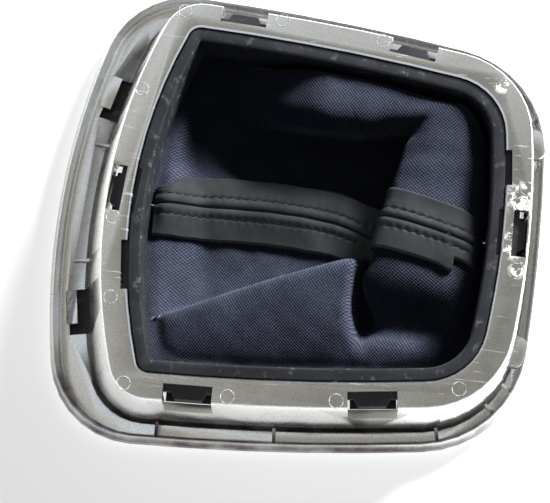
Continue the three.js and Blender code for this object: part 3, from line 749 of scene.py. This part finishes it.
def white_card(name, colour):
    """Matt white card: it looks white to the camera and in the plating, with painted shade that
    greys it towards the near left corner, and keeps the part's shadow."""
    m, t = new_material(name)
    path = add(t, "LightPath")
    place = add(t, "TexCoord").outputs["Object"]
    axes = add(t, "SeparateXYZ", {0: place})
    along = add(t, "Math", {0: axes.outputs[0], 1: axes.outputs[1]}, operation="ADD")
    # Painted shade: the glow seen by the camera dims towards the near left corner
    fade = add(t, "MapRange", {"Value": along, 1: -0.16, 2: 0.02, 3: 0.68, 4: 0.78})
    seen = add(t, "Math", {0: path.outputs["Is Camera Ray"], 1: fade}, operation="MULTIPLY")
    part = add(t, "Math",
               {0: path.outputs["Is Glossy Ray"], 1: 0.8, 2: seen}, operation="MULTIPLY_ADD")
    flat = add(t, "BsdfDiffuse", {"Color": colour})
    glow = add(t, "Emission", {"Color": linear("#ffffff"), "Strength": part})
    both = add(t, "AddShader", {0: flat, 1: glow})
    add(t, "OutputMaterial", {"Surface": both})
    return m


# Stage

def set_camera():
    """The photo's viewpoint: a long lens almost straight above."""
    data = bpy.data.cameras.new("camera")
    data.sensor_width = SENSOR
    data.lens = FOCAL_LENGTH / PHOTO_WIDTH * SENSOR
    data.clip_start = 0.01
    camera = new_object("camera", data)
    turn = Euler([math.radians(angle) for angle in CAMERA_TURN])
    camera.matrix_world = Matrix.LocRotScale(Vector(CAMERA_PLACE), turn, None)
    bpy.context.scene.camera = camera


def area_light(name, place, size, watts, aim=(0, 0, 0)):
    """Lamp with a width and a height, turned to a point."""
    data = bpy.data.lights.new(name, "AREA")
    data.shape = "RECTANGLE"
    data.size, data.size_y = size
    data.energy = watts
    lamp = new_object(name, data)
    lamp.location = place
    lamp.visible_glossy = False       # the plating mirrors the room, not the lamp
    lamp.rotation_euler = (Vector(aim) - Vector(place)).to_track_quat("-Z", "Y").to_euler()


def set_world():
    """A pale room: white to the camera, dim on what it lights, and in the plating white at
    eye level and grey overhead."""
    world = bpy.data.worlds.new("studio")
    world.use_nodes = True
    bpy.context.scene.world = world
    t = world.node_tree
    t.nodes.clear()
    path = add(t, "LightPath")
    way = add(t, "TexCoord").outputs["Generated"]
    axes = add(t, "SeparateXYZ", {0: way})
    height = axes.outputs[2]
    across = add(t, "Math", {0: axes.outputs[0], 1: axes.outputs[1]}, operation="ADD")
    overhead = add(t, "MapRange", {"Value": across, 1: 0.45, 2: 0.1, 3: 0.18, 4: 0.38})
    mirrored = add(t, "MapRange", {"Value": height, 1: 0.75, 2: 0.94, 3: 1.0, 4: overhead})
    lit = add(t, "Mix", {0: path.outputs["Is Glossy Ray"], 2: 0.06, 3: mirrored}, data_type="FLOAT")
    shown = add(t, "Mix", {0: path.outputs["Is Camera Ray"], 2: lit, 3: 1.0}, data_type="FLOAT")
    warmth = add(t, "MapRange", {"Value": height, 1: 0.6, 2: 0.9})
    tint = add(t, "Mix", {0: warmth, 6: linear("#e4edfa"), 7: linear("#fffcf2")}, data_type="RGBA")
    sky = add(t, "Background", {"Color": tint.outputs[2], "Strength": shown})
    add(t, "OutputWorld", {"Surface": sky})


# Settings and operators

def length(name, description, default):
    return FloatProperty(name=name, description=description, default=default, min=0,
                         subtype="DISTANCE", unit="LENGTH", precision=4)


def colour(name, description, default):
    return FloatVectorProperty(name=name, description=description, size=3, min=0, max=1,
                               subtype="COLOR", default=linear(default))


class GaiterSizes(PropertyGroup):
    edge: length("Edge radius", "Rounding of the mouldings' sharp edges", 0.00009)
    crease: length("Crease height", "Height of the small soft waves in the cloth", 0.0004)
    thread_gap: length("Weave", "Distance from one pale dot of the weave to the next", 0.00074)
    strip_width: length("Strip width", "Width of the leather strip over each seam", 0.02)
    strip_thickness: length("Strip thickness", "Thickness of the leather strips", 0.0008)
    stitch: length("Stitch length", "Distance from one stitch to the next", 0.0027)
    thread: length("Thread radius", "Radius of the sewing thread", 0.0002)


class GaiterColours(PropertyGroup):
    plating: colour("Plating", "Chrome plating on the bezel's back", "#dfdfdd")
    plastic: colour("Frame", "Black plastic of the retaining frame", "#26272a")
    weave_dark: colour("Cloth gaps", "Backing cloth between the threads", "#242730")
    weave_light: colour("Cloth threads", "Crowns of the backing cloth's threads", "#4a4f60")
    leather: colour("Leather", "Leather of the strips and of the gaiter's outside", "#323436")
    thread: colour("Thread", "Sewing thread", "#17181a")
    card: colour("Card", "Card that the part lies on", "#f4f4f2")


class GAITER_OT_bezel(Operator):
    """Plates the bezel, rounds its edges and adds the ejector pins' round marks"""
    bl_idname = "gaiter.bezel"
    bl_label = "Plated bezel"

    def execute(self, context):
        sizes, colours = context.scene.gaiter_sizes, context.scene.gaiter_colours
        chrome = plated_abs("chrome_plated_abs_satin_back", colours.plating)
        # Painted shade: the flange slots' floors and walls are black, standing in for a deep dark
        # hole
        slot_painted_shade = moulded_black("abs_slot_painted_shade", shade(colours.plastic, 0.4))
        bezel = softened("bezel", "bezel_plated", sizes.edge, [chrome, slot_painted_shade], in_slot)
        ring = np.linspace(0, 2 * np.pi, 33)
        round_x, round_y = EJECTOR_RADIUS * np.cos(ring), EJECTOR_RADIUS * np.sin(ring)
        paths = [np.column_stack([x + round_x, y + round_y, np.full(len(ring), RIM_TOP)])
                 for x, y in EJECTOR_MARKS]
        points, faces = tubes(paths, [(0, 0, 1)] * len(paths), EJECTOR_BURR, 6)
        burr = burr_painted_highlight("chrome_plating_burr", colours.plating)
        new_piece("ejector_marks", points, faces, [burr])
        return {"FINISHED"}


def lug_plates(material):
    """Dark thin plates under the snap lugs, which shut most of each clip window."""
    points = outline(RIM, 0, 12)
    turn = np.degrees(np.arctan2(points[:, 1], points[:, 0]))
    (back, front), half = LUG_PLATE["out"], LUG_PLATE["half"]
    corners = [(back, -half), (front, -half), (front, half), (back, half)]
    body = bmesh.new()
    for angle in WINDOWS:
        k = int(np.argmin(np.abs((turn - angle + 180) % 360 - 180)))
        ahead, behind = points[(k + 1) % len(points)], points[k - 1]
        along = (ahead - behind) / np.linalg.norm(ahead - behind)
        out = np.array([along[1], -along[0]])
        plan = [points[k] + out * a + along * b for a, b in corners]
        low, high = ([body.verts.new(Vector((p[0] + SHIFT, p[1], z)) * MM) for p in plan]
                     for z in LUG_PLATE["z"])
        body.faces.new(high)
        body.faces.new(low[::-1])
        for i in range(4):
            body.faces.new((low[i], low[(i + 1) % 4], high[(i + 1) % 4], high[i]))
    bmesh.ops.recalc_face_normals(body, faces=body.faces)
    mesh = bpy.data.meshes.new("lug_plates")
    body.to_mesh(mesh)
    body.free()
    mesh.materials.append(material)
    piece = new_object("lug_plates", mesh)
    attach(piece, "root")
    return piece


class GAITER_OT_frame(Operator):
    """Gives the retaining frame its moulded finish and rounds its edges"""
    bl_idname = "gaiter.retaining_frame"
    bl_label = "Retaining frame"

    def execute(self, context):
        sizes, colours = context.scene.gaiter_sizes, context.scene.gaiter_colours
        black = moulded_black("polypropylene_moulded_matt", colours.plastic)
        softened("retaining_frame", "frame_moulded", sizes.edge, [black])
        lug_plates(black)
        return {"FINISHED"}


class GAITER_OT_cloth(Operator):
    """Builds the two halves of the gaiter, backing cloth inside and leather outside"""
    bl_idname = "gaiter.cloth"
    bl_label = "Gaiter cloth"

    def execute(self, context):
        sizes, colours = context.scene.gaiter_sizes, context.scene.gaiter_colours
        cloth = woven_backing("polyester_backing_woven", colours.weave_dark,
                              colours.weave_light, sizes.thread_gap)
        leather = grained_leather("leather_coated_outside", colours.leather)
        for side, node in ((1, "gaiter_panel_rear"), (-1, "gaiter_panel_front")):
            grid, flat = panel_grid(side, sizes.crease / MM)
            piece = thick_grid(node.replace("panel", "cloth"), grid, -SHEET / 2, SHEET / 2,
                               [cloth, leather], flat)
            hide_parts(node)
        return {"FINISHED"}


class GAITER_OT_strips(Operator):
    """Builds the leather strips over the seams, with their two rows of stitches"""
    bl_idname = "gaiter.strips"
    bl_label = "Seam strips"

    def execute(self, context):
        sizes, colours = context.scene.gaiter_sizes, context.scene.gaiter_colours
        leather = grained_leather("leather_seam_strip", colours.leather)
        thread = twisted_thread("polyester_thread_twisted", colours.thread)
        thick, pitch = sizes.strip_thickness / MM, sizes.stitch / MM
        for way, node in ((1, "seam_strip_right"), (-1, "seam_strip_left")):
            grid, d = strip_grid(way, sizes.strip_width / MM, sizes.crease / MM)
            if way < 0:                                 # keep the normals pointing up
                grid, d = grid[:, ::-1], d[:, ::-1]
            along = lengths(grid)
            edge = np.minimum(np.abs(d - d[:, :1]), np.abs(d - d[:, -1:]))
            height = strip_height(d, edge, along, thick, pitch)
            strip = thick_grid(node.replace("seam", "leather"), grid, STRIP_LOW,
                               STRIP_LOW + height, [leather])
            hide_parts(node)
            normals = grid_normals(grid)
            top = grid + normals * (STRIP_LOW + height)[..., None]
            paths, ups = stitch_paths(top, normals, d, pitch)
            points, faces = tubes(paths, ups, sizes.thread / MM)
            stitches = new_piece(node.replace("seam_strip", "stitches"), points, faces, [thread])
        return {"FINISHED"}


class GAITER_OT_stage(Operator):
    """Lays the white card and sets the light, the room and the camera"""
    bl_idname = "gaiter.stage"
    bl_label = "Stage"

    def execute(self, context):
        scene = context.scene
        scene.view_settings.view_transform = "Standard"
        mesh = bpy.data.meshes.new("floor")
        corners = ((-CARD_HALF, -CARD_HALF), (CARD_HALF, -CARD_HALF),
                   (CARD_HALF, CARD_HALF), (-CARD_HALF, CARD_HALF))
        mesh.from_pydata([(x, y, 0) for x, y in corners], [], [(0, 1, 2, 3)])
        mesh.materials.append(white_card("card_matt_white", scene.gaiter_colours.card))
        floor = new_object("floor", mesh)
        floor.location.z = -0.2 * MM
        set_world()
        area_light("window", (0.46, 0.65, 0.315), (0.3, 0.12), 33)
        set_camera()
        return {"FINISHED"}


OPERATORS = (GAITER_OT_bezel, GAITER_OT_frame, GAITER_OT_cloth, GAITER_OT_strips, GAITER_OT_stage)


class GAITER_PT_sidebar(Panel):
    """Sizes, colours and build steps of the gaiter"""
    bl_idname = "GAITER_PT_sidebar"
    bl_label = "Gear lever gaiter"
    bl_space_type = "VIEW_3D"
    bl_region_type = "UI"
    bl_category = "Gaiter"

    def draw(self, context):
        for group in (context.scene.gaiter_sizes, context.scene.gaiter_colours):
            box = self.layout.box()
            for key in group.__annotations__:
                box.prop(group, key)
        for operator in OPERATORS:
            self.layout.operator(operator.bl_idname)


CLASSES = (GaiterSizes, GaiterColours, *OPERATORS, GAITER_PT_sidebar)


def register():
    for cls in CLASSES:
        bpy.utils.register_class(cls)
    bpy.types.Scene.gaiter_sizes = PointerProperty(type=GaiterSizes)
    bpy.types.Scene.gaiter_colours = PointerProperty(type=GaiterColours)


def unregister():
    del bpy.types.Scene.gaiter_colours
    del bpy.types.Scene.gaiter_sizes
    for cls in reversed(CLASSES):
        bpy.utils.unregister_class(cls)


def main():
    register()
    for operator in OPERATORS:
        group, step = operator.bl_idname.split(".")
        getattr(getattr(bpy.ops, group), step)()


if __name__ == "__main__":
    main()
